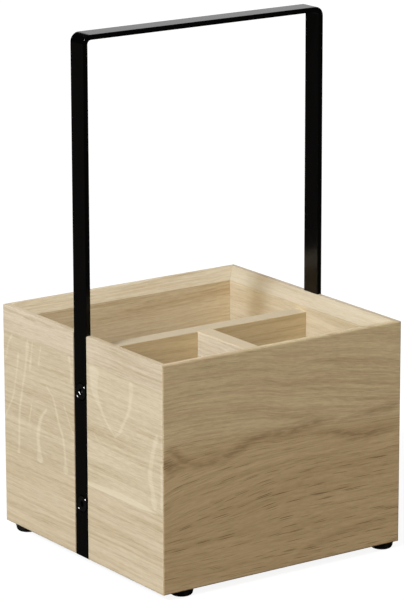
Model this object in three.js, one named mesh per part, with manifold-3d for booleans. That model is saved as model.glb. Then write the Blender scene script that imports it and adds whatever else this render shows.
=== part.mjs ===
// Table caddy: a mitred oak box with three compartments and a bent steel bar as its handle.
// Millimetres, +Z up, +Y to the back. The origin is on the floor under the middle of the box.

import * as THREE from 'three';
import { mergeVertices } from 'three/addons/utils/BufferGeometryUtils.js';
import Module from 'manifold-3d';

const wasm = await Module();
wasm.setup();

// Driving dimensions of the box
const boxWidth = 200;
const boxDepth = 200;
const boxHeight = 160;
const boardThickness = 12.5;
const rimWidth = 4.5;
const edgeRound = 1.2;
const edgeSegments = 4;
const floorThickness = 9;
const floorRebate = 6;
const floorClearance = 0.2;

// Left panel: widths of the staves below and above its middle one
const bottomStaveWidth = 54.4;
const topStaveWidth = 18;

// Dividers: thickness, drop of their top below the rim, and the housings that hold their ends
const dividerThickness = 12.5;
const dividerDrop = 11.6;
const dividerRound = 0.6;
const longDividerY = 0;
const shortDividerX = 0;
const housingDepth = 3;
const housingClearance = 0.1;
const housingEndGap = 0.3;

// Handle: flat bar with its powder coat
const barWidth = 16;
const barThickness = 3.6;
const barEdge = 0.4;
const barEdgeSegments = 2;
const handleRise = 207;
const bendRadius = 6.5;
const bendSegments = 8;
const grooveSideClearance = 0.2;
const grooveFloorClearance = 0.1;

// Handle screws: M6, countersunk, their length with the head; heights from the underside of the box
const screwHeights = [38.5, 119];
const screwLength = 16;
const shankDiameter = 5.8;
const shankTip = 0.8;
const headDiameter = 11.4;
const headRim = 0.2;
const headSink = 0.3;
const socketAcrossFlats = 4;
const socketSides = 6;
const socketDepth = 2.2;
const barHoleDiameter = 6.6;
const countersinkClearance = 0.3;
const roundSegments = 32;

// Threaded inserts behind the screws
const insertDiameter = 9;
const insertLength = 10;
const insertBore = 6.2;
const insertChamfer = 0.5;
const insertHoleClearance = 0.15;
const insertSetback = 0.2;
const screwHoleEndGap = 1;

// Feet: stick-on rubber, domed underneath
const footHeight = 5;
const footDiameter = 17;
const footWaistDiameter = 16;
const footRound = 2.6;
const footRoundSegments = 5;
const footInset = 8.8;
const frontLeftFootInset = 20.6;
const backLeftFootInset = 15;

// Sizes that follow from the ones above
const wallChamfer = boardThickness - rimWidth;
const innerWidth = boxWidth - 2 * boardThickness;
const innerDepth = boxDepth - 2 * boardThickness;
const upperGlueLine = boxHeight - topStaveWidth;
const dividerTop = boxHeight - dividerDrop;
const grooveDepth = barThickness + grooveFloorClearance;
const grooveWidth = barWidth + 2 * grooveSideClearance;
const handleTop = boxHeight + handleRise;
const countersinkDiameter = headDiameter + 2 * (headSink + headRim + countersinkClearance);

// How far cutters run past a face, and how close two points are before they are one
const cutOver = 1;
const weldDistance = 1e-5;

const axisX = new THREE.Vector3(1, 0, 0);
const axisY = new THREE.Vector3(0, 1, 0);
const axisZ = new THREE.Vector3(0, 0, 1);

const oak = new THREE.MeshStandardMaterial({ color: 0xd2c3a3, roughness: 0.62, metalness: 0 });
const coatedSteel = new THREE.MeshStandardMaterial({ color: 0x17140f, roughness: 0.42, metalness: 0 });
const blackSteel = new THREE.MeshStandardMaterial({ color: 0x141210, roughness: 0.32, metalness: 1 });
const brass = new THREE.MeshStandardMaterial({ color: 0xc9a24a, roughness: 0.35, metalness: 1 });
const rubber = new THREE.MeshStandardMaterial({ color: 0x0b0b0b, roughness: 0.8, metalness: 0 });

// A closed geometry as a solid that can be joined and cut
function solidOf(geometry) {
  const bare = geometry.clone();
  bare.deleteAttribute('normal');
  bare.deleteAttribute('uv');
  const merged = mergeVertices(bare, weldDistance);
  return new wasm.Manifold(new wasm.Mesh({
    numProp: 3,
    vertProperties: new Float32Array(merged.attributes.position.array),
    triVerts: new Uint32Array(merged.index.array),
  }));
}

// A solid back as a geometry with flat faces
function geometryOf(solid) {
  const mesh = solid.getMesh();
  const geometry = new THREE.BufferGeometry();
  geometry.setAttribute('position', new THREE.BufferAttribute(new Float32Array(mesh.vertProperties), 3));
  geometry.setIndex(new THREE.BufferAttribute(new Uint32Array(mesh.triVerts), 1));
  const flat = geometry.toNonIndexed();
  flat.computeVertexNormals();
  return flat;
}

function cut(solid, cutters) {
  return cutters.reduce((rest, cutter) => rest.subtract(cutter), solid);
}

// A box solid between two corners
function block(low, high) {
  const size = high.map((value, axis) => value - low[axis]);
  const geometry = new THREE.BoxGeometry(...size);
  geometry.translate(...low.map((value, axis) => value + size[axis] / 2));
  return solidOf(geometry);
}

// A round bar along X between two places, at height z
function rodAlongX(diameter, startX, endX, y, z) {
  const length = endX - startX;
  const geometry = new THREE.CylinderGeometry(diameter / 2, diameter / 2, length, roundSegments);
  geometry.rotateZ(Math.PI / 2);
  geometry.translate(startX + length / 2, y, z);
  return solidOf(geometry);
}

// A board's cross-section, extruded along X: y runs from the outer face inwards, z upwards
function alongX(shape, length) {
  const geometry = new THREE.ExtrudeGeometry(shape, {
    depth: length,
    bevelEnabled: false,
    curveSegments: edgeSegments,
  });
  geometry.translate(0, 0, -length / 2);
  return geometry.applyMatrix4(new THREE.Matrix4().makeBasis(axisY, axisZ, axisX));
}

// Wall section: rounded outer edges, flat rim, chamfer down to the inner face, rebate for the floor
function wallSection() {
  const shape = new THREE.Shape();
  const ledge = boardThickness - floorRebate;
  shape.moveTo(edgeRound, 0);
  shape.lineTo(ledge, 0);
  shape.lineTo(ledge, floorThickness);
  shape.lineTo(boardThickness, floorThickness);
  shape.lineTo(boardThickness, boxHeight - wallChamfer);
  shape.lineTo(rimWidth, boxHeight);
  shape.lineTo(edgeRound, boxHeight);
  shape.absarc(edgeRound, boxHeight - edgeRound, edgeRound, Math.PI / 2, Math.PI, false);
  shape.lineTo(0, edgeRound);
  shape.absarc(edgeRound, edgeRound, edgeRound, Math.PI, 1.5 * Math.PI, false);
  return shape;
}

// A mitre draws each end in by the depth of the point below the outer face
function mitre(geometry, length) {
  const position = geometry.attributes.position;
  for (let i = 0; i < position.count; i += 1) {
    const end = Math.sign(position.getX(i));
    position.setX(i, end * (length / 2 - position.getY(i)));
  }
  return geometry;
}

// The box seen from above with its rounded corners, as a tall prism behind the outer face
function roundedPlan(length, depth) {
  const half = length / 2;
  const r = edgeRound;
  const shape = new THREE.Shape();
  shape.absarc(half - r, r, r, 1.5 * Math.PI, 2 * Math.PI, false);
  shape.absarc(half - r, depth - r, r, 0, Math.PI / 2, false);
  shape.absarc(r - half, depth - r, r, Math.PI / 2, Math.PI, false);
  shape.absarc(r - half, r, r, Math.PI, 1.5 * Math.PI, false);
  const geometry = new THREE.ExtrudeGeometry(shape, {
    depth: boxHeight + 2 * cutOver,
    bevelEnabled: false,
    curveSegments: edgeSegments,
  });
  geometry.translate(0, 0, -cutOver);
  return solidOf(geometry);
}

// A mitred wall board of the given length, in a box of the given depth behind it
function wallBoard(length, depth) {
  const board = solidOf(mitre(alongX(wallSection(), length), length));
  return board.intersect(roundedPlan(length, depth));
}

// The housing that takes a divider's end, sunk into the inner face of a board
function housing(centreX) {
  const halfWidth = dividerThickness / 2 + housingClearance;
  return block(
    [centreX - halfWidth, boardThickness - housingDepth, floorThickness - cutOver],
    [centreX + halfWidth, boardThickness + cutOver, dividerTop],
  );
}

// The groove down the outer face that takes a leg of the handle
function handleGroove(centreX) {
  return block(
    [centreX - grooveWidth / 2, -cutOver, -cutOver],
    [centreX + grooveWidth / 2, grooveDepth, boxHeight + cutOver],
  );
}

// Holes for the inserts, right through the board between groove and housing
function insertHoles(centreX) {
  return screwHeights.map((height) => {
    const geometry = new THREE.CylinderGeometry(
      insertDiameter / 2 + insertHoleClearance,
      insertDiameter / 2 + insertHoleClearance,
      boardThickness,
      roundSegments,
    );
    geometry.translate(centreX, boardThickness / 2, height);
    return solidOf(geometry);
  });
}

// Side panel: outer face at y = 0; towards is +1 where local +X points to the back of the box
function sideBoard(towards) {
  const centreX = towards * longDividerY;
  const cutters = [handleGroove(centreX), housing(centreX), ...insertHoles(centreX)];
  return cut(wallBoard(boxDepth, boxWidth), cutters);
}

// The part of a board between two heights, as one stave of a glued-up panel
function stave(board, low, high) {
  const slice = block([-boxDepth, -cutOver, low], [boxDepth, boardThickness + cutOver, high]);
  return board.intersect(slice);
}

// Bottom board with its edges in the rebates of the walls
function bottomBoard() {
  const reach = floorRebate - floorClearance;
  const halfX = innerWidth / 2 + reach;
  const halfY = innerDepth / 2 + reach;
  return block([-halfX, -halfY, 0], [halfX, halfY, floorThickness]);
}

// Divider board along X with eased top edges, from z = 0 up to its height
function dividerBoard(length, height) {
  const half = dividerThickness / 2;
  const r = dividerRound;
  const shape = new THREE.Shape();
  shape.moveTo(-half, 0);
  shape.lineTo(half, 0);
  shape.lineTo(half, height - r);
  shape.absarc(half - r, height - r, r, 0, Math.PI / 2, false);
  shape.lineTo(r - half, height);
  shape.absarc(r - half, height - r, r, Math.PI / 2, Math.PI, false);
  return solidOf(alongX(shape, length));
}

const dividerHeight = dividerTop - floorThickness;
const dividerEndReach = housingDepth - housingEndGap;

// Long divider: holes in both ends for the inserts, a housing in its front face for the short one
function longDivider() {
  const length = innerWidth + 2 * dividerEndReach;
  const board = dividerBoard(length, dividerHeight);
  const holeEnd = boxWidth / 2 - headSink - screwLength - screwHoleEndGap;
  const insertEnd = boxWidth / 2 - grooveDepth - insertSetback - insertLength - insertSetback;
  const cutters = screwHeights.flatMap((height) => {
    const z = height - floorThickness;
    const wide = insertDiameter + 2 * insertHoleClearance;
    return [
      rodAlongX(wide, insertEnd, boxWidth / 2, 0, z),
      rodAlongX(wide, -boxWidth / 2, -insertEnd, 0, z),
      rodAlongX(insertBore, holeEnd, boxWidth / 2, 0, z),
      rodAlongX(insertBore, -boxWidth / 2, -holeEnd, 0, z),
    ];
  });
  const halfSlot = dividerThickness / 2 + housingClearance;
  const face = -dividerThickness / 2;
  cutters.push(block(
    [shortDividerX - halfSlot, face - cutOver, -cutOver],
    [shortDividerX + halfSlot, face + housingDepth, dividerHeight + cutOver],
  ));
  return cut(board, cutters);
}

// Distance from the long divider's front face to the front panel's inner face
const frontCompartmentDepth = longDividerY - dividerThickness / 2 + innerDepth / 2;

function shortDivider() {
  return dividerBoard(frontCompartmentDepth + 2 * dividerEndReach, dividerHeight);
}

// Handle: the hoop's outline in the XZ plane, extruded along Y with eased edges
function handleGeometry() {
  const outer = boxWidth / 2;
  const inner = outer - barThickness;
  const innerRadius = bendRadius - barThickness;
  const under = handleTop - barThickness;
  const shape = new THREE.Shape();
  shape.moveTo(-outer, 0);
  shape.lineTo(-inner, 0);
  shape.lineTo(-inner, under - innerRadius);
  shape.absarc(innerRadius - inner, under - innerRadius, innerRadius, Math.PI, Math.PI / 2, true);
  shape.lineTo(inner - innerRadius, under);
  shape.absarc(inner - innerRadius, under - innerRadius, innerRadius, Math.PI / 2, 0, true);
  shape.lineTo(inner, 0);
  shape.lineTo(outer, 0);
  shape.lineTo(outer, handleTop - bendRadius);
  shape.absarc(outer - bendRadius, handleTop - bendRadius, bendRadius, 0, Math.PI / 2, false);
  shape.lineTo(bendRadius - outer, handleTop);
  shape.absarc(bendRadius - outer, handleTop - bendRadius, bendRadius, Math.PI / 2, Math.PI, false);
  const geometry = new THREE.ExtrudeGeometry(shape, {
    depth: barWidth - 2 * barEdge,
    bevelEnabled: true,
    bevelThickness: barEdge,
    bevelSize: barEdge,
    bevelOffset: -barEdge,
    bevelSegments: barEdgeSegments,
    curveSegments: bendSegments,
  });
  geometry.translate(0, 0, barEdge - barWidth / 2);
  return geometry.applyMatrix4(new THREE.Matrix4().makeBasis(axisX, axisZ, axisY.clone().negate()));
}

// The square cones that open both holes at height z to the countersink's diameter, at the bar's outer faces
function countersinks(z) {
  const reach = boxWidth / 2 + cutOver;
  const radius = countersinkDiameter / 2 + cutOver;
  const points = [
    new THREE.Vector2(0, -reach),
    new THREE.Vector2(radius, -reach),
    new THREE.Vector2(0, radius - reach),
  ];
  return [-1, 1].map((side) => {
    const cone = new THREE.LatheGeometry(points, roundSegments);
    cone.rotateZ((side * Math.PI) / 2);
    cone.translate(0, 0, z);
    return solidOf(cone);
  });
}

function handle() {
  const holes = screwHeights.map((height) => rodAlongX(barHoleDiameter, -boxWidth, boxWidth, 0, height));
  return cut(solidOf(handleGeometry()), [...holes, ...screwHeights.flatMap(countersinks)]);
}

// Screw about +Y, its flat top at y = 0: the rim and the square cone of the head, the shank, the socket
function screw() {
  const head = headDiameter / 2;
  const shank = shankDiameter / 2;
  const coneEnd = shank - head - headRim;
  const points = [
    new THREE.Vector2(0, -screwLength),
    new THREE.Vector2(shank - shankTip, -screwLength),
    new THREE.Vector2(shank, shankTip - screwLength),
    new THREE.Vector2(shank, coneEnd),
    new THREE.Vector2(head, -headRim),
    new THREE.Vector2(head, 0),
    new THREE.Vector2(0, 0),
  ];
  const body = solidOf(new THREE.LatheGeometry(points, roundSegments));
  const corner = socketAcrossFlats / Math.sqrt(3);
  const socket = new THREE.CylinderGeometry(corner, corner, 2 * socketDepth, socketSides);
  return body.subtract(solidOf(socket));
}

// Threaded insert about +Y, its outer end at y = 0: a sleeve with chamfered ends
function insertGeometry() {
  const bore = insertBore / 2;
  const outer = insertDiameter / 2;
  const points = [
    new THREE.Vector2(bore, -insertLength),
    new THREE.Vector2(outer - insertChamfer, -insertLength),
    new THREE.Vector2(outer, insertChamfer - insertLength),
    new THREE.Vector2(outer, -insertChamfer),
    new THREE.Vector2(outer - insertChamfer, 0),
    new THREE.Vector2(bore, 0),
    new THREE.Vector2(bore, -insertLength),
  ];
  return new THREE.LatheGeometry(points, roundSegments);
}

// Foot about +Y, standing on y = 0: flat sole, round lower edge, slight taper, flat glued top
function footGeometry() {
  const waist = footWaistDiameter / 2;
  const points = [new THREE.Vector2(0, 0)];
  for (let i = 0; i <= footRoundSegments; i += 1) {
    const angle = (i / footRoundSegments) * (Math.PI / 2);
    points.push(new THREE.Vector2(
      waist - footRound + footRound * Math.sin(angle),
      footRound - footRound * Math.cos(angle),
    ));
  }
  points.push(new THREE.Vector2(footDiameter / 2, footHeight));
  points.push(new THREE.Vector2(0, footHeight));
  return new THREE.LatheGeometry(points, roundSegments);
}

function place(parent, name, geometry, material, x = 0, y = 0, z = 0) {
  const mesh = new THREE.Mesh(geometry, material);
  mesh.name = name;
  mesh.position.set(x, y, z);
  parent.add(mesh);
  return mesh;
}

// The four walls: each stands in a group turned so that local -Y is its outside
function addWalls(box) {
  const quarter = Math.PI / 2;
  const front = new THREE.Group();
  front.position.set(0, -boxDepth / 2, 0);
  const frontBoard = wallBoard(boxWidth, boxDepth).subtract(housing(shortDividerX));
  place(front, 'front_panel', geometryOf(frontBoard), oak);

  const back = new THREE.Group();
  back.position.set(0, boxDepth / 2, 0);
  back.rotation.z = 2 * quarter;
  place(back, 'back_panel', geometryOf(wallBoard(boxWidth, boxDepth)), oak);

  const right = new THREE.Group();
  right.position.set(boxWidth / 2, 0, 0);
  right.rotation.z = quarter;
  place(right, 'right_panel', geometryOf(sideBoard(1)), oak);

  const left = new THREE.Group();
  left.position.set(-boxWidth / 2, 0, 0);
  left.rotation.z = -quarter;
  const staves = [
    ['left_panel_bottom_stave', 0, bottomStaveWidth],
    ['left_panel_middle_stave', bottomStaveWidth, upperGlueLine],
    ['left_panel_top_stave', upperGlueLine, boxHeight],
  ];
  const board = sideBoard(-1);
  for (const [name, low, high] of staves) {
    place(left, name, geometryOf(stave(board, low, high)), oak);
  }
  box.add(front, back, right, left);
}

function addInside(box) {
  place(box, 'bottom_panel', geometryOf(bottomBoard()), oak);
  place(box, 'long_divider', geometryOf(longDivider()), oak, 0, longDividerY, floorThickness);
  const middleY = longDividerY - dividerThickness / 2 - frontCompartmentDepth / 2;
  const divider = place(box, 'short_divider', geometryOf(shortDivider()), oak);
  divider.position.set(shortDividerX, middleY, floorThickness);
  divider.rotation.z = Math.PI / 2;
}

// Screws and inserts point outwards from each side, one pair at each height
function addFasteners(box) {
  const screwGeometry = geometryOf(screw());
  const levels = ['lower', 'upper'];
  for (const [side, towards] of [['left', -1], ['right', 1]]) {
    levels.forEach((level, i) => {
      const turned = new THREE.Group();
      turned.position.set(towards * (boxWidth / 2), longDividerY, screwHeights[i]);
      turned.rotation.z = (-towards * Math.PI) / 2;
      place(turned, `${side}_${level}_screw`, screwGeometry, blackSteel, 0, -headSink, 0);
      const insertY = -grooveDepth - insertSetback;
      place(turned, `${side}_${level}_insert`, insertGeometry(), brass, 0, insertY, 0);
      box.add(turned);
    });
  }
}

// Stuck on by hand: the front left foot stands further in from the side, the back left one from the back
function addFeet(caddy) {
  const corners = [
    ['front_left_foot', -1, -1, frontLeftFootInset, footInset],
    ['front_right_foot', 1, -1, footInset, footInset],
    ['back_left_foot', -1, 1, footInset, backLeftFootInset],
    ['back_right_foot', 1, 1, footInset, footInset],
  ];
  for (const [name, sideX, sideY, insetX, insetY] of corners) {
    const foot = place(caddy, name, footGeometry(), rubber);
    foot.position.set(sideX * (boxWidth / 2 - insetX), sideY * (boxDepth / 2 - insetY), 0);
    foot.rotation.x = Math.PI / 2;
  }
}

const caddy = new THREE.Group();
const box = new THREE.Group();
box.position.set(0, 0, footHeight);
addWalls(box);
addInside(box);
place(box, 'handle', geometryOf(handle()), coatedSteel, 0, longDividerY, 0);
addFasteners(box);
caddy.add(box);
addFeet(caddy);

export default caddy;
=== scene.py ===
# Table caddy in pale oak with a black bar handle: finishes, fine pieces, studio and camera
import math
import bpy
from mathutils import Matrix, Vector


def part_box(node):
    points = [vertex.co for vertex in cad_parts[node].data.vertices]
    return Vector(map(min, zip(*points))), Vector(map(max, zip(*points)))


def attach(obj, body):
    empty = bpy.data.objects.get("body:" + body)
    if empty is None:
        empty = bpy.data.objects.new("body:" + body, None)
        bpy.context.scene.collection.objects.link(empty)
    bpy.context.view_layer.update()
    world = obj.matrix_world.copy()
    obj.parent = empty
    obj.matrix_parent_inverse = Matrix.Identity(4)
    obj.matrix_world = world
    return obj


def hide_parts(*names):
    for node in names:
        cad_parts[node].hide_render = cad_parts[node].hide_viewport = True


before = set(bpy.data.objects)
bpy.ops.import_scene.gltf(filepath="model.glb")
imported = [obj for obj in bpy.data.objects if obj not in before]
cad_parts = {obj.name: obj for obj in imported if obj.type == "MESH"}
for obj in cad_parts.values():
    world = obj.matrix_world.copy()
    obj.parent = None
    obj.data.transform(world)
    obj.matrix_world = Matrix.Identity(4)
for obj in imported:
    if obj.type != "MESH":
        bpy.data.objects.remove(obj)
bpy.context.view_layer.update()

from types import SimpleNamespace

import bmesh
import bpy
import numpy as np
from mathutils import Matrix, Vector

MM = 0.001

# Places read from the frame, in metres
wall_low, wall_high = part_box("front_panel")
UNDERSIDE = wall_low.z
RIM = wall_high.z
HALF_BOX = wall_high.x
bar_low, bar_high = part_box("handle")
HOOP_TOP = bar_high.z
BAR_WIDTH = bar_high.y - bar_low.y

# Handle: flat bar with its coat, the outer radius of its bends, and its countersunk holes with an eased lip
BAR_THICKNESS = 3.6 * MM
BAR_EDGE = 0.4 * MM
BEND_RADIUS = 6.5 * MM
BAR_HOLE_RADIUS = 3.3 * MM
COUNTERSINK_RADIUS = 6.5 * MM
COUNTERSINK_LIP = 0.25 * MM

# Countersunk M6 screw with a hexagon socket, and how far each level's socket is turned, in radians
HEAD_RADIUS = 5.7 * MM
HEAD_RIM = 0.25 * MM
HEAD_CHAMFER = 0.16 * MM
SOCKET_HALF_FLATS = 2 * MM
SOCKET_DEPTH = 2.2 * MM
SOCKET_CHAMFER = 0.13 * MM
SOCKET_TURNS = {"lower": 0.35, "upper": 0.8}
SHANK_RADIUS = 2.9 * MM
SHANK_TIP = 0.8 * MM
THREAD_DEPTH = 0.5 * MM
THREAD_PITCH = 1 * MM

# Threaded insert; the crest of its thread falls away on each side over the pitch divided by the slope
INSERT_RADIUS = 4.5 * MM
INSERT_BORE_RADIUS = 3.1 * MM
INSERT_CHAMFER = 0.5 * MM
INSERT_THREAD_DEPTH = 0.6 * MM
INSERT_THREAD_PITCH = 2 * MM
INSERT_CREST_SLOPE = 3

# Foot: stick-on rubber with a rounded lower edge and a slight taper
FOOT_WAIST_RADIUS = 8 * MM
FOOT_ROUND = 2.6 * MM

# How finely the shapes are divided: steps in an arc, rows in a thread, and columns round an axis
BAR_EDGE_STEPS = 5
BAR_END_STEPS = 4
BEND_STEPS = 24
LIP_STEPS = 4
FOOT_STEPS = 10
ROWS_PER_TURN = 8
INSERT_ROWS = 60
DRILL_COLUMNS = 96
SCREW_COLUMNS = 72
INSERT_COLUMNS = 48
FOOT_COLUMNS = 64

# How near two points are before they are one, and the angle from which an edge is drawn sharp
WELD = 0.0005 * MM
SHARP = math.radians(32)


def linear(code):
    """sRGB hex colour as linear red, green, blue and alpha."""
    parts = [int(code[i:i + 2], 16) / 255 for i in (1, 3, 5)]
    return tuple(p / 12.92 if p <= 0.04045 else ((p + 0.055) / 1.055) ** 2.4 for p in parts) + (1.0,)


def grey(level):
    """A neutral colour of that linear level, where 1 is white."""
    return (level, level, level, 1)


def add(tree, kind, feeds=None, **settings):
    """Adds a node; feeds are its sockets' values, nodes or other sockets, and settings its attributes."""
    node = tree.nodes.new("ShaderNode" + kind)
    for key, value in settings.items():
        setattr(node, key, value)
    for key, value in (feeds or {}).items():
        named = [s for s in node.inputs if s.name == key and s.enabled]
        socket = named[0] if named else node.inputs[key]
        if isinstance(value, bpy.types.Node):
            value = next(s for s in value.outputs if s.enabled)
        if isinstance(value, bpy.types.NodeSocket):
            tree.links.new(value, socket)
        else:
            socket.default_value = value
    return node


def new_material(name):
    """An empty node material and its tree."""
    material = bpy.data.materials.new(name)
    material.use_nodes = True
    material.node_tree.nodes.clear()
    return material, material.node_tree


def product(tree, *factors):
    """Product of factors, each a number, a socket, a node, or a smooth step of (value, start, end, least).

    A step rises smoothly from its least, or from 0 where it gives none, to 1, as its value goes from start
    to end.
    """
    whole = None
    for factor in factors:
        if isinstance(factor, tuple):
            value, start, end, least = (*factor, 0.0)[:4]
            way = {"Value": value, "From Min": start, "From Max": end, "To Min": least}
            factor = add(tree, "MapRange", way, interpolation_type="SMOOTHSTEP")
        if whole is not None:
            factor = add(tree, "Math", {0: whole, 1: factor}, operation="MULTIPLY")
        whole = factor
    return whole


def strongest(tree, shares):
    """The largest of several shares."""
    most = shares[0]
    for share in shares[1:]:
        most = add(tree, "Math", {0: most, 1: share}, operation="MAXIMUM")
    return most


def painted(tree, colour, layers, blend="MIX"):
    """A colour with layers of (share, tint) laid over it in turn."""
    for share, tint in layers:
        colour = add(tree, "Mix", {"Factor": share, "A": colour, "B": linear(tint)}, data_type="RGBA",
                     blend_type=blend)
    return colour


def surface(tree, colour, sheen, roughness, relief, strength, depth, others):
    """Ends a material: the sheen takes its roughness between two values, and its relief is that deep.

    The others are the shader's own constants.
    """
    gloss = add(tree, "MapRange", {"Value": sheen, "To Min": roughness[0], "To Max": roughness[1]})
    bump = add(tree, "Bump", {"Height": relief, "Strength": strength, "Distance": depth})
    shader = add(tree, "BsdfPrincipled", {"Base Color": colour, "Roughness": gloss, "Normal": bump, **others})
    add(tree, "OutputMaterial", {"Surface": shader})


# Oak, planed and finished with a whitened oil: matt and pale straw, with soft bands, faint growth rings,
# uneven lines of late wood, and brown pore lines along the grain. Each layer's patches have that length,
# height and depth in mm.
BAND_PATCH = (150, 11, 11)
LINE_PATCH = (75, 2.0, 3.5)
BLUSH_PATCH = (100, 5, 8)
MOTTLE_PATCH = (9, 1.6, 3)
CLOUD_PATCH = (32, 13, 13)
WOBBLE_PATCH = (60, 8, 12)
FIBRE_PATCH = (7, 0.7, 1.2)
SWAY_PATCH = (95, 40, 40)
# The noise at which a layer starts and at which it is full, and the least that is left of it elsewhere
BAND_STEP = (0.35, 0.7)
LINE_STEP = (0.42, 0.7)
FIBRE_STEP = (0.3, 0.7)
BLUSH_STEP = (0.42, 0.66)
RING_FADES = (0.3, 0.65, 0.4)
# The parts of a ring over which it darkens and over which it falls back
RING_DARKENS = (0.1, 0.8)
RING_ENDS = (1.0, 0.85)
# How far the grain wanders up and down, and the rings in it, in mm, and how steeply the grain leans through
# the board
GRAIN_SWAY = 5.0
RING_WOBBLE = 6.0
GRAIN_LEAN = 0.35
# Pore lines: how far from a line's middle its colour reaches, as a share of its cell, how the lines thin out
# away from bands and rings, and how deep they are beside the fibres
PORE_REACH = 0.3
PORES_BY_BAND = (0.3, 0.6, 0.35)
PORES_BY_RING = (0.2, 0.7, 0.5)
PORE_RELIEF = -1.5
# How far one step of the seed moves the patches and the pores, so that no two layers agree
PATCH_MOVE = (7.3, 5.9, 3.7)
PORE_MOVE = (4.7, 9.1, 2.3)
BLUSH_TINT = "#DDC2A6"
# The mitre's glue line: how far it reaches into each board, in mm, and its strength
GLUE_LINE = 0.3
GLUE_STRENGTH = 0.35
# Painted shade: the chamfer and rim top, which face the lamps, are multiplied a little greyer and darker,
# and the eased outer edge darker still: how far each reaches and how softly it starts upwards and outwards,
# in mm, and what the edge multiplies by
CHAMFER = 8.2
EASED = 1.2
SOFT_UP = 0.3
SOFT_OUT = 0.2
EDGE_SHADE_TINT = "#E6E5E2"
# How far below a divider's top its painted shade starts and is full, and how far past its end a stroke fades,
# in mm
TOP_EDGE = (0.4, 0.2)
STROKE_END = 1.5


def board_of(tree, node, along, across):
    """The board's own coordinates in mm, along its length, up its height and through it.

    Its measures are, along and up, where it starts, its span, and the share of the way over it.
    """
    low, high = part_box(node)
    through = Vector(along).cross(Vector(across))
    turn = Matrix((along, across, through)).to_euler()
    place = add(tree, "Mapping", {"Vector": add(tree, "TexCoord").outputs["Object"], "Rotation": turn,
                                  "Scale": (1 / MM, 1 / MM, 1 / MM)})
    axes = add(tree, "SeparateXYZ", {"Vector": place})
    board = SimpleNamespace(place=place, along=axes.outputs["X"], up=axes.outputs["Y"],
                            through=axes.outputs["Z"], measures={})
    for name, direction, socket in (("along", along, board.along), ("up", across, board.up)):
        start, end = sorted((low.dot(Vector(direction)) / MM, high.dot(Vector(direction)) / MM))
        share = add(tree, "MapRange", {"Value": socket, "From Min": start, "From Max": end})
        board.measures[name] = (start, end - start, share)
    return board


def in_cells(tree, place, size, move, seed):
    """The place counted in cells of that size in mm, moved by the seed."""
    counts = tuple(1 / s for s in size)
    moved = tuple(seed * m for m in move)
    return add(tree, "VectorMath", {0: place, 1: counts, 2: moved}, operation="MULTIPLY_ADD")


def patches(tree, place, size, seed, detail=2.0, roughness=0.5):
    """Noise from 0 to 1 whose patches have that size in mm along, up and through the board."""
    cells = in_cells(tree, place, size, PATCH_MOVE, seed)
    return add(tree, "TexNoise", {"Vector": cells, "Scale": 1.0, "Detail": detail, "Roughness": roughness})


def growth_rings(tree, grain_height, place, pitch, seed):
    """Share from 0 to 1 that darkens slowly across each ring and falls back quickly at its edge.

    The part of a ring is the fraction that is left of the wandering height over the pitch.
    """
    wobble = patches(tree, place, WOBBLE_PATCH, seed, detail=1.0)
    height = add(tree, "Math", {0: wobble, 1: RING_WOBBLE, 2: grain_height}, operation="MULTIPLY_ADD")
    part = add(tree, "Math", {0: product(tree, height, 1 / pitch)}, operation="FRACT")
    return product(tree, (part, *RING_DARKENS), (part, *RING_ENDS))


def pore_lines(tree, place, cell, seed):
    """Share of thin pointed lines along the grain, one in each cell of that length and height in mm.

    A line is all that lies near a cell's random point, measured in cells, so it is as slender as its cell.
    """
    length, height = cell
    cells = in_cells(tree, place, (length, height, height), PORE_MOVE, seed)
    near = add(tree, "TexVoronoi", {"Vector": cells, "Scale": 1.0})
    return product(tree, (near.outputs["Distance"], PORE_REACH, 0.5 * PORE_REACH))


def lay_curve(curve, points):
    """Lays one curve of a curves node smoothly through these points, level beyond its ends."""
    points = [(0.0, points[0][1])] + [p for p in points if 0 < p[0] < 1] + [(1.0, points[-1][1])]
    curve.points[0].location = points[0]
    curve.points[1].location = points[-1]
    for x, y in points[1:-1]:
        curve.points.new(x, y)
    for point in curve.points:
        point.handle_type = "AUTO"


def height_curve(tree, board, axis, points, reach=1.0):
    """A smooth value from 0 to reach along one axis of the board, through points of (place in mm, value)."""
    low, span, share = board.measures[axis]
    node = add(tree, "FloatCurve", {"Value": share})
    lay_curve(node.mapping.curves[0], [((place - low) / span, value / reach) for place, value in points])
    node.mapping.update()
    return product(tree, node, reach)


def stroke(tree, board, points, edge, upright=False):
    """Share of one soft-edged stroke on a board, through points of (run, aside, half width) in mm.

    The run goes along the board, or up it where upright, and the half width is nothing before the first point
    and after the last. The share grows from the stroke's border inwards and is full one edge further in.
    """
    run_low, run_span, run_share = board.measures["up" if upright else "along"]
    low, span, share = board.measures["along" if upright else "up"]
    points = sorted(points)
    runs = [(p[0] - run_low) / run_span for p in points]
    middles = [(r, (p[1] - low) / span) for r, p in zip(runs, points)]
    halves = [(r, p[2] / span) for r, p in zip(runs, points)]
    fade = STROKE_END / run_span
    halves = [(runs[0] - fade, 0.0)] + halves + [(runs[-1] + fade, 0.0)]
    node = add(tree, "RGBCurve", {"Color": run_share})
    lay_curve(node.mapping.curves[0], middles)
    lay_curve(node.mapping.curves[1], halves)
    node.mapping.update()
    parts = add(tree, "SeparateColor", {"Color": node})
    offset = add(tree, "Math", {0: share, 1: parts.outputs["Red"]}, operation="SUBTRACT")
    distance = add(tree, "Math", {0: offset}, operation="ABSOLUTE")
    depth = add(tree, "Math", {0: parts.outputs["Green"], 1: distance}, operation="SUBTRACT")
    return add(tree, "Math", {0: depth, 1: span / edge}, operation="MULTIPLY", use_clamp=True)


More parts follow.
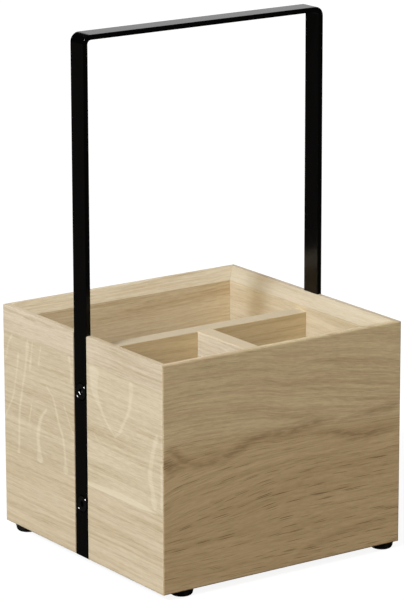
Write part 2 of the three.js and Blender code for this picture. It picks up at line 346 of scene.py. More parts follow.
# Front board, plain-sawn. Its grain climbs from the left edge below the middle and falls away to the right
# above it: (place, value) pairs in mm for how far the grain drops and climbs along the board, and for how
# much of that each height takes part in, and the most that a drop or climb may be.
FRONT_DROP = ((-60, 0), (-20, 3), (0, 7.3), (20, 10), (65, 18), (100, 24))
FRONT_DROP_SHARE = ((85, 0), (105, 1), (130, 1), (150, 0.85))
FRONT_CLIMB = ((-100, 0), (-84, 5), (-62, 9), (-38, 12), (-10, 14.5), (20, 15.5), (100, 15))
FRONT_CLIMB_SHARE = ((15, 0), (40, 0.3), (60, 0.7), (76, 1), (92, 0.7), (103, 0.3), (112, 0))
FRONT_REACH = 30
# Its darker streaks of late wood, as (x, height, half width)
FRONT_STREAKS = (
    ((-104, 107, 3), (-92, 104, 6), (-83, 97, 6.5), (-77, 93, 6), (-63, 91.4, 5.5), (-50, 93, 6),
     (-36, 98.3, 7), (-25, 102, 6), (-7, 102.3, 6), (9, 103, 6.5), (25, 104.5, 6), (36, 105, 4),
     (46, 105, 1)),
    ((16, 100, 1), (28, 97, 3.5), (42, 95, 5.5), (60, 90, 6.5), (80, 89, 6), (96, 90, 3), (104, 91, 1)),
    ((44, 102, 1), (60, 103, 3.5), (80, 104.3, 5), (96, 106.3, 4.5), (104, 107, 3)),
    ((8, 11, 1), (16, 14, 3), (27, 17.7, 4.5), (47, 21, 4.5), (66, 23.2, 3), (82, 24.5, 1)),
    ((-104, 99, 10), (-96, 95, 9), (-88, 93, 6), (-80, 92, 3)),
    ((-104, 66, 4), (-98, 66, 3.5), (-92, 68, 1.5)),
)
STREAK_EDGE = 6.0
STREAK_FADES = (0.3, 0.65, 0.35)
STREAK_STRENGTH = 0.85
# Heights of the grain between which it turns darker, and does so once more, and the share of the pores that
# the paler part above them has
LOWER_GRAIN = (118, 98)
LOWEST_GRAIN = (78, 50)
UPPER_PORES = 0.3


def front_figure(tree, board, rough):
    """Bends the front board's grain, keeps its upper third paler and finer, and lays its dark streaks."""
    drop = product(tree, height_curve(tree, board, "along", FRONT_DROP, FRONT_REACH),
                   height_curve(tree, board, "up", FRONT_DROP_SHARE))
    climb = product(tree, height_curve(tree, board, "along", FRONT_CLIMB, FRONT_REACH),
                    height_curve(tree, board, "up", FRONT_CLIMB_SHARE))
    bend = add(tree, "Math", {0: drop, 1: climb}, operation="SUBTRACT")
    grain_height = add(tree, "Math", {0: board.up, 1: bend}, operation="ADD")
    lower = product(tree, (grain_height, *LOWER_GRAIN))
    lowest = product(tree, (grain_height, *LOWEST_GRAIN))
    streaks = strongest(tree, [stroke(tree, board, points, STREAK_EDGE) for points in FRONT_STREAKS])
    mottle = patches(tree, board.place, MOTTLE_PATCH, 1, detail=3.0)
    broken = product(tree, streaks, (mottle, *STREAK_FADES), STREAK_STRENGTH)
    return dict(bend=bend, pores=product(tree, (lower, 0, 1, UPPER_PORES)),
                tints=((lower, "#DEC9A3"), (lowest, "#D5BF9A"), (broken, "#A88E70")))


# Middle stave of the left wall, quarter-sawn: pale ray flecks that cross the grain, as (height, place along
# the wall, half width), with the back at -100 and the front corner at 100
RAY_FLECKS = (
    ((145.7, -88, 1.4), (138.3, -92.7, 1.6), (130.3, -95.3, 1.6), (125, -97.3, 1.3)),
    ((133.7, -80, 1.3), (121, -82, 1.6), (110.3, -84.7, 1.6), (98.3, -88.7, 1.6), (89, -94.7, 1.6),
     (83.7, -98, 1.3)),
    ((145.7, -67.3, 1.4), (126.3, -70.4, 1.7), (107.7, -75.3, 1.9), (90.3, -79.3, 2.0), (79.7, -80, 2.0),
     (63.7, -80.7, 1.9), (59.5, -81.3, 1.7)),
    ((145.7, -61, 1.3), (138.3, -62.3, 1.4), (123.7, -65, 1.2)),
    ((145, -50, 1.3), (138.3, -51.7, 1.4), (130.3, -53.3, 1.2)),
    ((99.7, -63.3, 1.2), (93, -65, 1.4), (86.3, -66.7, 1.2)),
    ((117.7, -42.7, 1.4), (111.7, -35.5, 1.9), (105, -32, 2.0), (93, -27.3, 2.2), (86.3, -23.3, 2.2),
     (78.3, -21.3, 2.0), (69, -20, 2.0), (59.7, -20, 1.9)),
    ((101, -44, 1.6), (94.3, -50, 2.5), (85, -54, 2.9), (77, -55.3, 3.0), (69, -54, 2.9), (59.7, -53.3, 2.8)),
    ((110.3, -21.3, 1.2), (101, -16, 1.4), (94.3, -12, 1.4), (90.3, -8.7, 1.2)),
    ((146.3, -14, 1.4), (138.3, -12, 1.7), (127.7, -11.3, 1.3)),
    ((145, 17.3, 5.2), (136, 17.3, 5.7), (127.7, 18.3, 4.9), (119.7, 24, 3.2), (111.7, 30.7, 2.5),
     (105, 38.7, 2.2), (102.3, 42.7, 1.9)),
    ((145, 62.7, 2.2), (133, 62, 2.6), (122.3, 58.7, 2.6), (114.3, 53.3, 2.6), (106.3, 48, 2.5),
     (102.3, 43, 2.0)),
    ((115.7, 93.3, 1.9), (105, 89.3, 2.9), (93, 86, 3.3), (85, 84.7, 3.5), (74.3, 88, 3.3), (63.7, 90, 2.6)),
    ((95.7, 98.7, 1.3), (80, 98.7, 1.6), (63.7, 98.7, 1.3)),
    ((98.3, 17.3, 1.2), (93, 24, 1.4), (90.3, 30.7, 1.2)),
)
FLECK_EDGE = 2.0
FLECK_FADES = (0.3, 0.6, 0.75)
# The flecks lie partly under the grain and partly over it, with these strengths
FLECK_UNDER = 0.6
FLECK_OVER = 0.4
# Pale strip of sapwood along its lower glue line, as (place along the wall, height, half width)
SAPWOOD = ((-100, 60, 0.9), (-12, 60, 0.9), (8, 60.5, 2.6), (60, 61, 3.4), (100, 61, 3.0))
SAPWOOD_EDGE = 1.5
SAPWOOD_STRENGTH = 0.7
# Places along the wall between which its rear half turns a little darker: painted shade, as the light falls
# off towards the back
REAR_SHADE_SPAN = (12, -12)


def ray_figure(tree, board, rough):
    """Paints shade on the rear half of the quarter-sawn stave and lays its strip of sapwood and pale ray
    flecks.
    """
    flecks = strongest(tree, [stroke(tree, board, points, FLECK_EDGE, upright=True) for points in RAY_FLECKS])
    broken = product(tree, flecks, (rough, *FLECK_FADES))
    under = product(tree, broken, FLECK_UNDER)
    over = product(tree, broken, FLECK_OVER)
    sapwood = product(tree, stroke(tree, board, SAPWOOD, SAPWOOD_EDGE), SAPWOOD_STRENGTH)
    # Painted shade: the rear half a little darker, as the light falls off towards the back
    rear_shade = product(tree, (board.along, *REAR_SHADE_SPAN))
    return dict(tints=((rear_shade, "#DDD0B9"), (sapwood, "#EDE3CE"), (under, "#F1E8D4")),
                flecks=((sapwood, "#E7DDC5"), (over, "#E2D6BE")))


# Dark lines of late wood on the upper and lower staves of the left wall, as (place along the wall, height,
# half width)
TOP_STAVE_LINES = (
    ((-72, 161.5, 0.6), (-52, 161.5, 1.4), (-32, 161.5, 0.6)),
    ((-100, 147.5, 0.6), (-10, 147.5, 0.7), (40, 147.4, 0.5), (100, 147.4, 0.4)),
)
BOTTOM_STAVE_LINES = (
    ((-100, 23, 0.5), (-20, 23.4, 0.6), (10, 25.2, 0.6), (100, 25.7, 0.5)),
    ((-100, 31, 0.4), (0, 31.4, 0.5), (100, 31, 0.4)),
    ((-100, 46, 0.4), (0, 45.6, 0.5), (100, 46, 0.4)),
)
LINE_EDGE = 0.8
LINE_FADES = (0.35, 0.6, 0.2)
LINE_STRENGTH = 0.55


def line_figure(lines):
    """A figure of thin broken darker lines along the stave."""
    def lay(tree, board, rough):
        marks = strongest(tree, [stroke(tree, board, points, LINE_EDGE) for points in lines])
        return dict(tints=((product(tree, marks, (rough, *LINE_FADES), LINE_STRENGTH), "#A88D66"),))
    return lay


def oak(node, along, across, seed, ground="#DCCFB5", brown="#AE9871", pore="#7E6645", bands=0.2, rings=0.1,
        pitch=4.0, grains=0.3, fibre=0.22, pores=0.35, dash=(26, 0.65), blush=0.2, mitred=True,
        chamfer_shade_tint="#EDEEF0", edge=None, figure=None):
    """Oak for one board; along and across are the directions of its length and its height.

    Bands, rings, grains, fibre, pores and blush are the strengths of its layers. The pitch is that of its
    rings, and the dash the length and height of a pore line's cell, in mm. The edge is a painted shade colour
    laid on a divider's top, and the chamfer shade tint is painted shade multiplied over a wall's chamfer and
    rim top.
    A figure lays what is this board's own: it may bend the grain, thin out the pores, and give tints under
    the grain and flecks over it. The numbers added to the seed keep the layers apart.
    """
    material, tree = new_material("oiled_oak_" + node)
    board = board_of(tree, node, along, across)
    rough = patches(tree, board.place, CLOUD_PATCH, seed + 5)
    drawn = dict(bend=0.0, pores=1.0, tints=(), flecks=())
    if figure:
        drawn.update(figure(tree, board, rough))

    wander = patches(tree, board.place, SWAY_PATCH, seed + 4, detail=1.0)
    height = add(tree, "Math", {0: wander, 1: GRAIN_SWAY, 2: board.up}, operation="MULTIPLY_ADD")
    leaning = add(tree, "Math", {0: board.through, 1: GRAIN_LEAN, 2: height}, operation="MULTIPLY_ADD")
    bent = add(tree, "Math", {0: leaning, 1: drawn["bend"]}, operation="ADD")
    grain = add(tree, "CombineXYZ", {"X": board.along, "Y": bent, "Z": board.through})

    band = patches(tree, grain, BAND_PATCH, seed)
    ring = growth_rings(tree, bent, grain, pitch, seed + 1)
    thread = patches(tree, grain, FIBRE_PATCH, seed + 2, detail=3.0, roughness=0.65)
    lines = pore_lines(tree, grain, dash, seed + 3)
    uneven = patches(tree, grain, LINE_PATCH, seed + 6, detail=3.0, roughness=0.6)
    flush = patches(tree, grain, BLUSH_PATCH, seed + 7)

    darker = product(tree, ring, (rough, *RING_FADES), rings)
    steps = ((band, BAND_STEP, bands), (uneven, LINE_STEP, grains), (thread, FIBRE_STEP, fibre))
    for noise, step, strength in steps:
        share = product(tree, (noise, *step), strength)
        darker = add(tree, "Math", {0: darker, 1: share}, operation="ADD", use_clamp=True)
    dashes = product(tree, lines, (band, *PORES_BY_BAND), (ring, *PORES_BY_RING), drawn["pores"])
    blushed = product(tree, (flush, *BLUSH_STEP), blush)
    layers = [(blushed, BLUSH_TINT), *drawn["tints"], (darker, brown), (product(tree, dashes, pores), pore),
              *drawn["flecks"]]
    colour = painted(tree, linear(ground), layers)
    if mitred:
        aside = add(tree, "Math", {0: board.along}, operation="ABSOLUTE")
        gap = add(tree, "Math", {0: board.through, 1: aside}, operation="SUBTRACT")
        glued = product(tree, (gap, GLUE_LINE, 0), GLUE_STRENGTH)
        foot, top, face = RIM / MM - CHAMFER, RIM / MM - EASED, HALF_BOX / MM - EASED
        # Painted shade: the chamfer and rim top, which face the lamps, and the eased outer edge are made
        # darker
        chamfer_shade = product(tree, (board.up, foot - SOFT_UP, foot), (board.through, face + SOFT_OUT, face))
        edge_shade = product(tree, (board.up, top, top + SOFT_UP), (board.through, face, face + SOFT_OUT))
        colour = painted(tree, colour, [(glued, pore)])
        colour = painted(tree, colour, [(chamfer_shade, chamfer_shade_tint), (edge_shade, EDGE_SHADE_TINT)], blend="MULTIPLY")
    # Painted shade on a divider's top
    if edge:
        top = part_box(node)[1].z / MM
        start, full = TOP_EDGE
        colour = painted(tree, colour, [(product(tree, (board.up, top - start, top - full)), edge)])

    relief = add(tree, "Math", {0: dashes, 1: PORE_RELIEF, 2: thread}, operation="MULTIPLY_ADD")
    surface(tree, colour, sheen=thread, roughness=(0.5, 0.68), relief=relief, strength=0.25, depth=0.12 * MM,
            others={"IOR": 1.45, "Specular IOR Level": 0.3})
    return material


# Each board's own piece of timber; the walls' lengths run so that through points out of the box
BOARDS = {
    "front_panel": dict(along=(1, 0, 0), across=(0, 0, 1), seed=1, figure=front_figure, ground="#E9DAB5",
                        brown="#A48A66", pore="#5C3D20", bands=0.1, rings=0.08, pitch=6.5, grains=0.26,
                        fibre=0.28, pores=0.85, dash=(30, 0.62), blush=0.45, chamfer_shade_tint="#F7F8FA"),
    "back_panel": dict(along=(-1, 0, 0), across=(0, 0, 1), seed=2, ground="#F3E8CF", brown="#BB9D68",
                       rings=0.18, pitch=3.2, grains=0.2, blush=0.15),
    "right_panel": dict(along=(0, 1, 0), across=(0, 0, 1), seed=3, rings=0.08, pitch=8.0, grains=0.16,
                        chamfer_shade_tint="#EEF1F7"),
    "left_panel_bottom_stave": dict(along=(0, -1, 0), across=(0, 0, 1), seed=4, ground="#DDCFB7", rings=0.06,
                                    blush=0.1, figure=line_figure(BOTTOM_STAVE_LINES)),
    "left_panel_middle_stave": dict(along=(0, -1, 0), across=(0, 0, 1), seed=5, ground="#E2D6BF", pores=0.3,
                                    rings=0.1, grains=0.24, fibre=0.26, blush=0.08, figure=ray_figure),
    "left_panel_top_stave": dict(along=(0, -1, 0), across=(0, 0, 1), seed=6, ground="#E3D7C4", rings=0.06,
                                 chamfer_shade_tint="#F3EFE6", blush=0.1, figure=line_figure(TOP_STAVE_LINES)),
    "bottom_panel": dict(along=(1, 0, 0), across=(0, 1, 0), seed=7, mitred=False),
    "long_divider": dict(along=(1, 0, 0), across=(0, 0, 1), seed=8, ground="#D9C8A4", bands=0.3, rings=0.08,
                         pitch=7.0, mitred=False, edge="#CCBEA4"),
    "short_divider": dict(along=(0, 1, 0), across=(0, 0, 1), seed=9, ground="#E8DFCE", mitred=False,
                          edge="#D2C2A6"),
}


def dress_boards():
    """Gives each oak board its own piece of timber."""
    for node, timber in BOARDS.items():
        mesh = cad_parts[node].data
        mesh.materials.clear()
        mesh.materials.append(oak(node, **timber))


# Sizes of the patterns on metal and rubber
ORANGE_PEEL = 0.9 * MM
COAT_CLOUD = 25 * MM
OXIDE_FILM = 0.5 * MM
BRASS_DULLING = 2 * MM
TURNING_RING = 3 * MM
MOULD_GRIT = 0.4 * MM


def powder_coat():
    """Satin powder coat on steel: sprayed and baked, so even and deep black with a faint orange peel."""
    material, tree = new_material("satin_powder_coat")
    place = add(tree, "TexCoord").outputs["Object"]
    peel = add(tree, "TexNoise", {"Vector": place, "Scale": 1 / ORANGE_PEEL, "Detail": 2.0})
    cloud = add(tree, "TexNoise", {"Vector": place, "Scale": 1 / COAT_CLOUD, "Detail": 2.0})
    colour = painted(tree, linear("#020202"), [(cloud, "#050404")])
    surface(tree, colour, sheen=peel, roughness=(0.12, 0.2), relief=peel, strength=0.1, depth=0.02 * MM,
            others={"IOR": 1.5, "Specular IOR Level": 0.25})
    return material


def black_oxide():
    """Oiled black oxide on machined steel: a dense black film, glossy enough for bright glints on edges."""
    material, tree = new_material("black_oxide_steel")
    place = add(tree, "TexCoord").outputs["Object"]
    film = add(tree, "TexNoise", {"Vector": place, "Scale": 1 / OXIDE_FILM, "Detail": 3.0})
    colour = painted(tree, linear("#040404"), [(film, "#0A0A0A")])
    surface(tree, colour, sheen=film, roughness=(0.06, 0.12), relief=film, strength=0.1, depth=0.01 * MM,
            others={"IOR": 1.8, "Specular IOR Level": 0.25})
    return material


def turned_brass():
    """Brass turned from bar: warm yellow metal with fine rings round its axis and slight dulling."""
    material, tree = new_material("turned_brass")
    place = add(tree, "TexCoord").outputs["Object"]
    dull = add(tree, "TexNoise", {"Vector": place, "Scale": 1 / BRASS_DULLING, "Detail": 3.0})
    rings = add(tree, "TexWave", {"Vector": place, "Scale": 1 / TURNING_RING, "Distortion": 0.3},
                bands_direction="X")
    colour = painted(tree, linear("#C9A24A"), [(dull, "#AF8A3C")])
    surface(tree, colour, sheen=dull, roughness=(0.28, 0.42), relief=rings, strength=0.15, depth=0.01 * MM,
            others={"Metallic": 1.0})
    return material


def moulded_rubber():
    """Moulded black rubber: matt with a soft sheen at the rounded edge and a very fine mould grain."""
    material, tree = new_material("moulded_rubber")
    place = add(tree, "TexCoord").outputs["Object"]
    grit = add(tree, "TexNoise", {"Vector": place, "Scale": 1 / MOULD_GRIT, "Detail": 2.0})
    colour = painted(tree, linear("#080808"), [(grit, "#0E0E0D")])
    surface(tree, colour, sheen=grit, roughness=(0.55, 0.7), relief=grit, strength=0.15, depth=0.02 * MM,
            others={"Specular IOR Level": 0.25})
    return material


def mesh_of(name, points, wraps_rows=False):
    """A closed mesh from a grid of points (rows, columns, xyz) whose columns close on themselves.

    Rows that shrink to one point close a pole: their points are merged. Faces are then turned outwards.
    """
    rows, columns, _ = points.shape
    index = np.arange(rows * columns).reshape(rows, columns)
    below = index if wraps_rows else index[:-1]
    above = np.roll(index, -1, axis=0) if wraps_rows else index[1:]
    quads = np.stack([below, np.roll(below, -1, axis=1), np.roll(above, -1, axis=1), above], axis=-1)
    mesh = bpy.data.meshes.new(name)
    mesh.from_pydata(points.reshape(-1, 3).tolist(), [], quads.reshape(-1, 4).tolist())
    merged = bmesh.new()
    merged.from_mesh(mesh)
    bmesh.ops.remove_doubles(merged, verts=merged.verts, dist=WELD)
    bmesh.ops.recalc_face_normals(merged, faces=merged.faces)
    merged.to_mesh(mesh)
    merged.free()
    mesh.shade_smooth()
    return mesh


def piece_of(name, points, material, replaces, wraps_rows=False):
    """A finished piece that rides on the body and stands for one node of the frame."""
    mesh = mesh_of(name, points, wraps_rows)
    mesh.set_sharp_from_angle(angle=SHARP)
    mesh.materials.append(material)
    piece = bpy.data.objects.new(name, mesh)
    bpy.context.scene.collection.objects.link(piece)
    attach(piece, "root")
    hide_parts(replaces)
    return piece


def revolve(profile, columns, twist=None):
    """Rows of (radius, height) turned about the local Z axis.

    A twist works out each radius anew from the radius, the angle and the height.
    """
    profile = np.asarray(profile, float)
    angle = np.linspace(0, 2 * np.pi, columns, endpoint=False)
    radius = np.repeat(profile[:, :1], columns, axis=1)
    height = np.repeat(profile[:, 1:2], columns, axis=1)
    if twist is not None:
        radius = twist(radius, angle[None, :], height)
    return np.stack([radius * np.cos(angle), radius * np.sin(angle), height], axis=-1)


def arc(centre, radius, start, end, steps):
    """Points of (radius, height) on a circle's arc, angles in degrees."""
    angle = np.radians(np.linspace(start, end, steps + 1))
    return np.stack([centre[0] + radius * np.cos(angle), centre[1] + radius * np.sin(angle)], axis=-1)


def beside(points, side, face, centre):
    """Local points (a, b, out) turned so that out runs along X away from the box, on the left or right side.

    The left side is the right side turned half round the Z axis, so threads keep their hand.
    """
    a, b, out = np.moveaxis(points, -1, 0)
    return np.stack([side * (face + out), centre.y + side * a, centre.z + b], axis=-1)


def bar_section(inset):
    """Section of the bar as (outwards, sideways): four quarter circles joined by flats, drawn in by inset."""
    reach_out = BAR_THICKNESS / 2 - inset - BAR_EDGE
    reach_side = BAR_WIDTH / 2 - inset - BAR_EDGE
    corners = ((1, 1, 0), (-1, 1, 90), (-1, -1, 180), (1, -1, 270))
    rounds = [arc((out * reach_out, side * reach_side), BAR_EDGE, start, start + 90, BAR_EDGE_STEPS)
              for out, side, start in corners]
    return np.concatenate(rounds)


def hoop_path():
    """Rows of (x, z, turn, inset): straight legs and top, joined by quarter circles, and both ends eased.

    The turn is 0 on the left leg, a quarter circle on top and half a circle on the right leg.
    """
    bend_x, bend_z = HALF_BOX - BEND_RADIUS, HOOP_TOP - BEND_RADIUS
    middle = BEND_RADIUS - BAR_THICKNESS / 2
    quarter = np.radians(np.linspace(0, 90, BEND_STEPS + 1))
    ease = np.radians(np.linspace(0, 90, BAR_END_STEPS + 1))
    leg_z = UNDERSIDE + BAR_EDGE * (1 - np.cos(ease))
    inset = BAR_EDGE * (1 - np.sin(ease))
    leg_x = np.full_like(leg_z, HALF_BOX - BAR_THICKNESS / 2)
    leg = np.stack([-leg_x, leg_z, np.zeros_like(leg_z), inset], axis=-1)
    bend = np.stack([-bend_x - middle * np.cos(quarter), bend_z + middle * np.sin(quarter), quarter,
                     np.zeros_like(quarter)], axis=-1)
    left = np.concatenate([leg, bend])
    right = left[::-1] * (-1, 1, -1, 1) + (0, 0, np.pi, 0)
    return np.concatenate([left, right])


def make_handle(material):
    """The hoop: its section carried along the path, closed at both ends, with holes where the screws pass."""
    rows = []
    for x, z, turn, inset in hoop_path():
        out, side = bar_section(inset).T
        rows.append(np.stack([x - out * np.cos(turn), side, z + out * np.sin(turn)], axis=-1))
    closing = [np.broadcast_to(row.mean(axis=0), row.shape) for row in (rows[0], rows[-1])]
    points = np.stack([closing[0], *rows, closing[1]])
    piece = piece_of("bar_handle", points, material, "handle")
    for screw in ("left_lower_screw", "left_upper_screw"):
        low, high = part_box(screw)
        drill(piece, (low.z + high.z) / 2)
    piece.data.set_sharp_from_angle(angle=SHARP)
    flats = piece.modifiers.new("even_flats", "WEIGHTED_NORMAL")
    flats.keep_sharp = True


def hole_profile():
    """Half the drill's profile as (radius, place along X): the hole, the cone and the cone's round lip."""
    middle = (COUNTERSINK_RADIUS + COUNTERSINK_LIP * (math.sqrt(2) - 1), HALF_BOX - COUNTERSINK_LIP)
    cone_start = HALF_BOX - (COUNTERSINK_RADIUS - BAR_HOLE_RADIUS)
    past = HALF_BOX + BAR_THICKNESS
    lip = arc(middle, COUNTERSINK_LIP, 135, 90, LIP_STEPS)
    return [(BAR_HOLE_RADIUS, cone_start), *lip, (middle[0], past), (0, past)]


def drill(piece, height):
    """Cuts a hole along X through both legs at that height, countersunk at the outer face of each."""
    half = hole_profile()
    profile = [(radius, -place) for radius, place in reversed(half)] + half
    points = beside(revolve(profile, DRILL_COLUMNS), 1, 0.0, Vector((0, 0, height)))
    bit = bpy.data.objects.new("drill", mesh_of("drill", points))
    bpy.context.scene.collection.objects.link(bit)
    cut = piece.modifiers.new("hole", "BOOLEAN")
    cut.object = bit
    cut.solver = "EXACT"
    drilled = bpy.data.meshes.new_from_object(piece.evaluated_get(bpy.context.evaluated_depsgraph_get()))
    piece.modifiers.remove(cut)
    piece.data = drilled
    bpy.data.objects.remove(bit)


def screw_profile(length):
    """Rows of (radius, height, thread, hexagon) from the tip of the shank up its cone and into the socket."""
    cone_end = SHANK_RADIUS - HEAD_RADIUS - HEAD_RIM
    thread_rows = np.arange(SHANK_TIP - length, cone_end - THREAD_PITCH / 2, THREAD_PITCH / ROWS_PER_TURN)
    shank = [(0, -length, 0, 0), (SHANK_RADIUS - SHANK_TIP, -length, 0, 0)]
    shank += [(SHANK_RADIUS, z, 1, 0) for z in thread_rows] + [(SHANK_RADIUS, cone_end, 0, 0)]
    head = [(HEAD_RADIUS, -HEAD_RIM, 0, 0),
            (HEAD_RADIUS, -HEAD_CHAMFER, 0, 0),
            (HEAD_RADIUS - HEAD_CHAMFER, 0, 0, 0)]
    socket = [(SOCKET_HALF_FLATS + SOCKET_CHAMFER, 0, 0, 1),
              (SOCKET_HALF_FLATS, -SOCKET_CHAMFER, 0, 1),
              (SOCKET_HALF_FLATS, -SOCKET_DEPTH, 0, 1),
              (0, -SOCKET_DEPTH - SOCKET_CHAMFER, 0, 0)]
    return np.array(shank + head + socket, float)


def make_screw(name, node, side, turned, material):
    """Countersunk screw: a revolved profile whose shank has a helical V thread and whose socket is a hexagon.

    The thread lowers the radius by a triangle wave of height over pitch less angle over a full turn; the
    hexagon divides the radius by the cosine of the angle from the nearest flat's middle.
    """
    low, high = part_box(node)
    profile = screw_profile(high.x - low.x)
    thread, hexagon = profile[:, 2:3], profile[:, 3:4]

    def shaped(radius, angle, height):
        phase = (height / THREAD_PITCH - angle / (2 * np.pi)) % 1
        cut = THREAD_DEPTH * thread * np.abs(2 * phase - 1)
        sector = (angle + turned) % (np.pi / 3) - np.pi / 6
        return (radius - cut) / (1 - hexagon * (1 - np.cos(sector)))

    head_face = max(abs(low.x), abs(high.x))
    points = beside(revolve(profile, SCREW_COLUMNS, shaped), side, head_face, (low + high) / 2)
    piece_of(name, points, material, node)


def make_insert(name, node, side, material):
    """Threaded insert: a sleeve with a coarse knife thread outside, closed on itself through its bore.

    The thread lowers the radius everywhere but near its crest, a triangle in the middle of each turn.
    """
    low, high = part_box(node)
    length = high.x - low.x
    outer_end = max(abs(low.x), abs(high.x))
    steps = np.linspace(-length + INSERT_CHAMFER, -INSERT_CHAMFER, INSERT_ROWS)
    outside = [(INSERT_RADIUS - INSERT_CHAMFER, -length, 0)] + [(INSERT_RADIUS, z, 1) for z in steps]
    outside += [(INSERT_RADIUS - INSERT_CHAMFER, 0, 0)]
    inside = [(INSERT_BORE_RADIUS, 0, 0), (INSERT_BORE_RADIUS, -length, 0)]
    profile = np.array(outside + inside, float)
    thread = profile[:, 2:3]

    def shaped(radius, angle, height):
        phase = (height / INSERT_THREAD_PITCH - angle / (2 * np.pi)) % 1
        crest = np.clip(1 - INSERT_CREST_SLOPE * np.abs(phase - 0.5), 0, 1)
        return radius - INSERT_THREAD_DEPTH * thread * (1 - crest)

    points = beside(revolve(profile, INSERT_COLUMNS, shaped), side, outer_end, (low + high) / 2)
    piece_of(name, points, material, node, wraps_rows=True)


def make_foot(name, node, material):
    """Rubber foot: a flat sole, a quarter-round lower edge, a slight taper outwards and a flat glued top."""
    low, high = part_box(node)
    centre = (low + high) / 2
    top_radius = (high.x - low.x) / 2
    lower_edge = arc((FOOT_WAIST_RADIUS - FOOT_ROUND, FOOT_ROUND), FOOT_ROUND, -90, 0, FOOT_STEPS)
    profile = [(0, 0), *lower_edge, (top_radius, high.z), (0, high.z)]
    points = revolve(profile, FOOT_COLUMNS) + np.array([centre.x, centre.y, low.z])
    piece_of(name, points, material, node)


def dress_metal_and_rubber():
    """Fine pieces in place of the plain handle, screws, inserts and feet."""
    coat, oxide, brass, rubber = powder_coat(), black_oxide(), turned_brass(), moulded_rubber()
    make_handle(coat)
    for side, side_name in ((-1, "left"), (1, "right")):
        for level, turned in SOCKET_TURNS.items():
            place = f"{side_name}_{level}"
            make_screw(f"countersunk_screw_{place}", f"{place}_screw", side, turned, oxide)
            make_insert(f"brass_insert_{place}", f"{place}_insert", side, brass)
    for corner in ("front_left", "front_right", "back_left", "back_right"):
        make_foot(f"rubber_foot_{corner}", f"{corner}_foot", rubber)


# Studio: a cool key light with hard shadows and a broad warmer light from the left, a weaker warm one from
# the front, a low one from behind that the camera's side hardly sees, and a faint glow from all round. Suns
# have their direction as azimuth and elevation in degrees, azimuth turned from -X to -Y.
LIGHTS = {
    "key_light": dict(azimuth=16, elevation=41, strength=2.15, width=6, colour="#E2EDFF"),
    "soft_light": dict(azimuth=5, elevation=33, strength=1.42, width=70, colour="#FFF4D6"),
    "front_light": dict(azimuth=60, elevation=42, strength=0.81, width=70, colour="#FFE0A4"),
    "back_light": dict(azimuth=213, elevation=9, strength=1.1, width=45, colour="#FFF1DC"),
    "glint": dict(azimuth=16, elevation=41, strength=7, width=18, colour="#FFFFFF", in_gloss=True,
                  in_light=False),
}
LAMP_DISTANCE = 2
# The glow: its strength, its colours low down and high up, and the upward parts of the direction between
# which the one gives way to the other
GLOW = 0.25
GLOW_LOW = "#FFF1DC"
GLOW_HIGH = "#EAF2FF"
GLOW_RISE = (0.1, 0.8)
# What gloss sees: a pale wall low behind the box and to the right, and a dim room elsewhere. Each pair gives
# the parts of the direction, backwards, to the right and upwards, between which the wall comes up.
WALL_BACK = (0.2, 0.5)
WALL_RIGHT = (0.1, 0.3)
WALL_FOOT = (-0.02, 0.04)
WALL_TOP = (0.42, 0.34)
WALL_GLOSS = 0.8
ROOM_GLOSS = 0.01
FLOOR_SIZE = 6.0
FLOOR_COLOUR = "#424242"
FLOOR_SEEN = 0.9
FLOOR_SHADE = 0.15


def sun(name, azimuth, elevation, strength, width, colour, in_gloss=False, in_light=True):
    """A distant lamp that shines towards the box from that azimuth and elevation; width is its angular size.

    The lamps are left out of reflections, so that they lay no grey sheen on black; the glint, which stands
    where the key does, is seen in reflections alone.
    """
    lamp = bpy.data.lights.new(name, "SUN")
    lamp.energy = strength
    lamp.angle = math.radians(width)
    lamp.color = linear(colour)[:3]
    turn, lift = math.radians(azimuth), math.radians(elevation)
    towards = Vector((-math.cos(lift) * math.cos(turn), -math.cos(lift) * math.sin(turn), math.sin(lift)))
    piece = bpy.data.objects.new(name, lamp)
    piece.rotation_euler = towards.to_track_quat("Z", "Y").to_euler()
    piece.location = towards * LAMP_DISTANCE
    piece.visible_glossy = in_gloss
    piece.visible_diffuse = in_light
    bpy.context.scene.collection.objects.link(piece)


def make_world():
    """A soft glow, warm below and cool above; the camera sees white, and gloss a pale wall in a dim room."""
    world = bpy.data.worlds.new("studio")
    bpy.context.scene.world = world
    world.use_nodes = True
    tree = world.node_tree
    tree.nodes.clear()
    ray = add(tree, "LightPath")
    direction = add(tree, "TexCoord").outputs["Generated"]
    axes = add(tree, "SeparateXYZ", {"Vector": direction})
    x, y, z = (axes.outputs[letter] for letter in "XYZ")
    wall = product(tree, (y, *WALL_BACK), (x, *WALL_RIGHT), (z, *WALL_FOOT), (z, *WALL_TOP))
    dim, pale = grey(ROOM_GLOSS), grey(WALL_GLOSS)
    mirrored = add(tree, "Mix", {"Factor": wall, "A": dim, "B": pale}, data_type="RGBA")
    warm, cool = (tuple(GLOW * part for part in linear(code)[:3]) + (1.0,) for code in (GLOW_LOW, GLOW_HIGH))
    rise = product(tree, (z, *GLOW_RISE))
    glow = add(tree, "Mix", {"Factor": rise, "A": warm, "B": cool}, data_type="RGBA")
    glossy = ray.outputs["Is Glossy Ray"]
    lit = add(tree, "Mix", {"Factor": glossy, "A": glow, "B": mirrored}, data_type="RGBA")
    seen = strongest(tree, [ray.outputs["Is Camera Ray"], ray.outputs["Is Transmission Ray"]])
    colour = add(tree, "Mix", {"Factor": seen, "A": lit, "B": grey(1)}, data_type="RGBA")
    background = add(tree, "Background", {"Color": colour})
    add(tree, "OutputWorld", {"Surface": background})


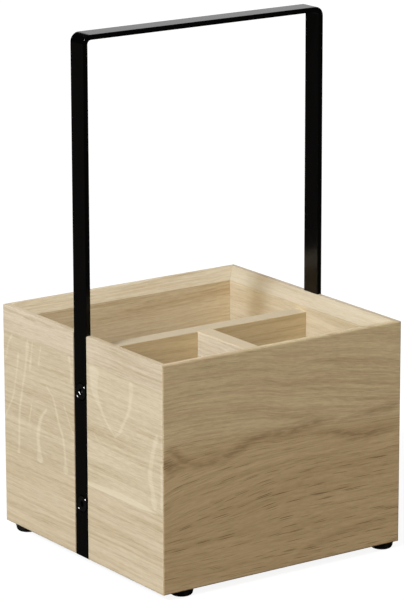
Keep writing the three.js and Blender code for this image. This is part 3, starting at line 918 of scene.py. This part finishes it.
def make_floor():
    """A plain floor, white to the camera with the box's soft shadow on it, and darker to bounced light."""
    half = FLOOR_SIZE / 2
    mesh = bpy.data.meshes.new("floor")
    corners = [(-half, -half, 0), (half, -half, 0), (half, half, 0), (-half, half, 0)]
    mesh.from_pydata(corners, [], [(0, 1, 2, 3)])
    material, tree = new_material("pale_studio_floor")
    ray = add(tree, "LightPath")
    matt = add(tree, "BsdfDiffuse", {"Color": linear(FLOOR_COLOUR)})
    faint = add(tree, "BsdfDiffuse", {"Color": grey(FLOOR_SHADE)})
    glow = add(tree, "Emission", {"Color": grey(FLOOR_SEEN)})
    seen = add(tree, "AddShader", {0: faint, 1: glow})
    shader = add(tree, "MixShader", {0: ray.outputs["Is Camera Ray"], 1: matt, 2: seen})
    add(tree, "OutputMaterial", {"Surface": shader})
    mesh.materials.append(material)
    floor = bpy.data.objects.new("floor", mesh)
    bpy.context.scene.collection.objects.link(floor)


# Camera: long lens, a little above the rim, looking at the front-left corner; angles in degrees, and how far
# it sees in metres
CAMERA_AZIMUTH = -34.865
CAMERA_ELEVATION = 14.615
CAMERA_ROLL = -0.14
CAMERA_DISTANCE = 2380.0 * MM
CAMERA_TARGET = Vector((1.723, 0, 173.553)) * MM
CAMERA_LENS = 204.818
CAMERA_SIGHT = 20


def make_camera():
    """Stands the camera at the photograph's viewing angle."""
    turn, lift, roll = (math.radians(a) for a in (CAMERA_AZIMUTH, CAMERA_ELEVATION, CAMERA_ROLL))
    backwards = Vector((math.sin(turn) * math.cos(lift), -math.cos(turn) * math.cos(lift), math.sin(lift)))
    level = Vector((math.cos(turn), math.sin(turn), 0))
    upright = backwards.cross(level)
    right = math.cos(roll) * level + math.sin(roll) * upright
    up = backwards.cross(right)
    lens = bpy.data.cameras.new("camera")
    lens.lens = CAMERA_LENS
    lens.clip_end = CAMERA_SIGHT
    camera = bpy.data.objects.new("camera", lens)
    axes = Matrix((right, up, backwards)).transposed()
    camera.matrix_world = Matrix.Translation(CAMERA_TARGET + backwards * CAMERA_DISTANCE) @ axes.to_4x4()
    bpy.context.scene.collection.objects.link(camera)
    bpy.context.scene.camera = camera


make_camera()
for light, setting in LIGHTS.items():
    sun(light, **setting)
make_world()
make_floor()
bpy.context.scene.view_settings.view_transform = "Standard"
dress_boards()
dress_metal_and_rubber()
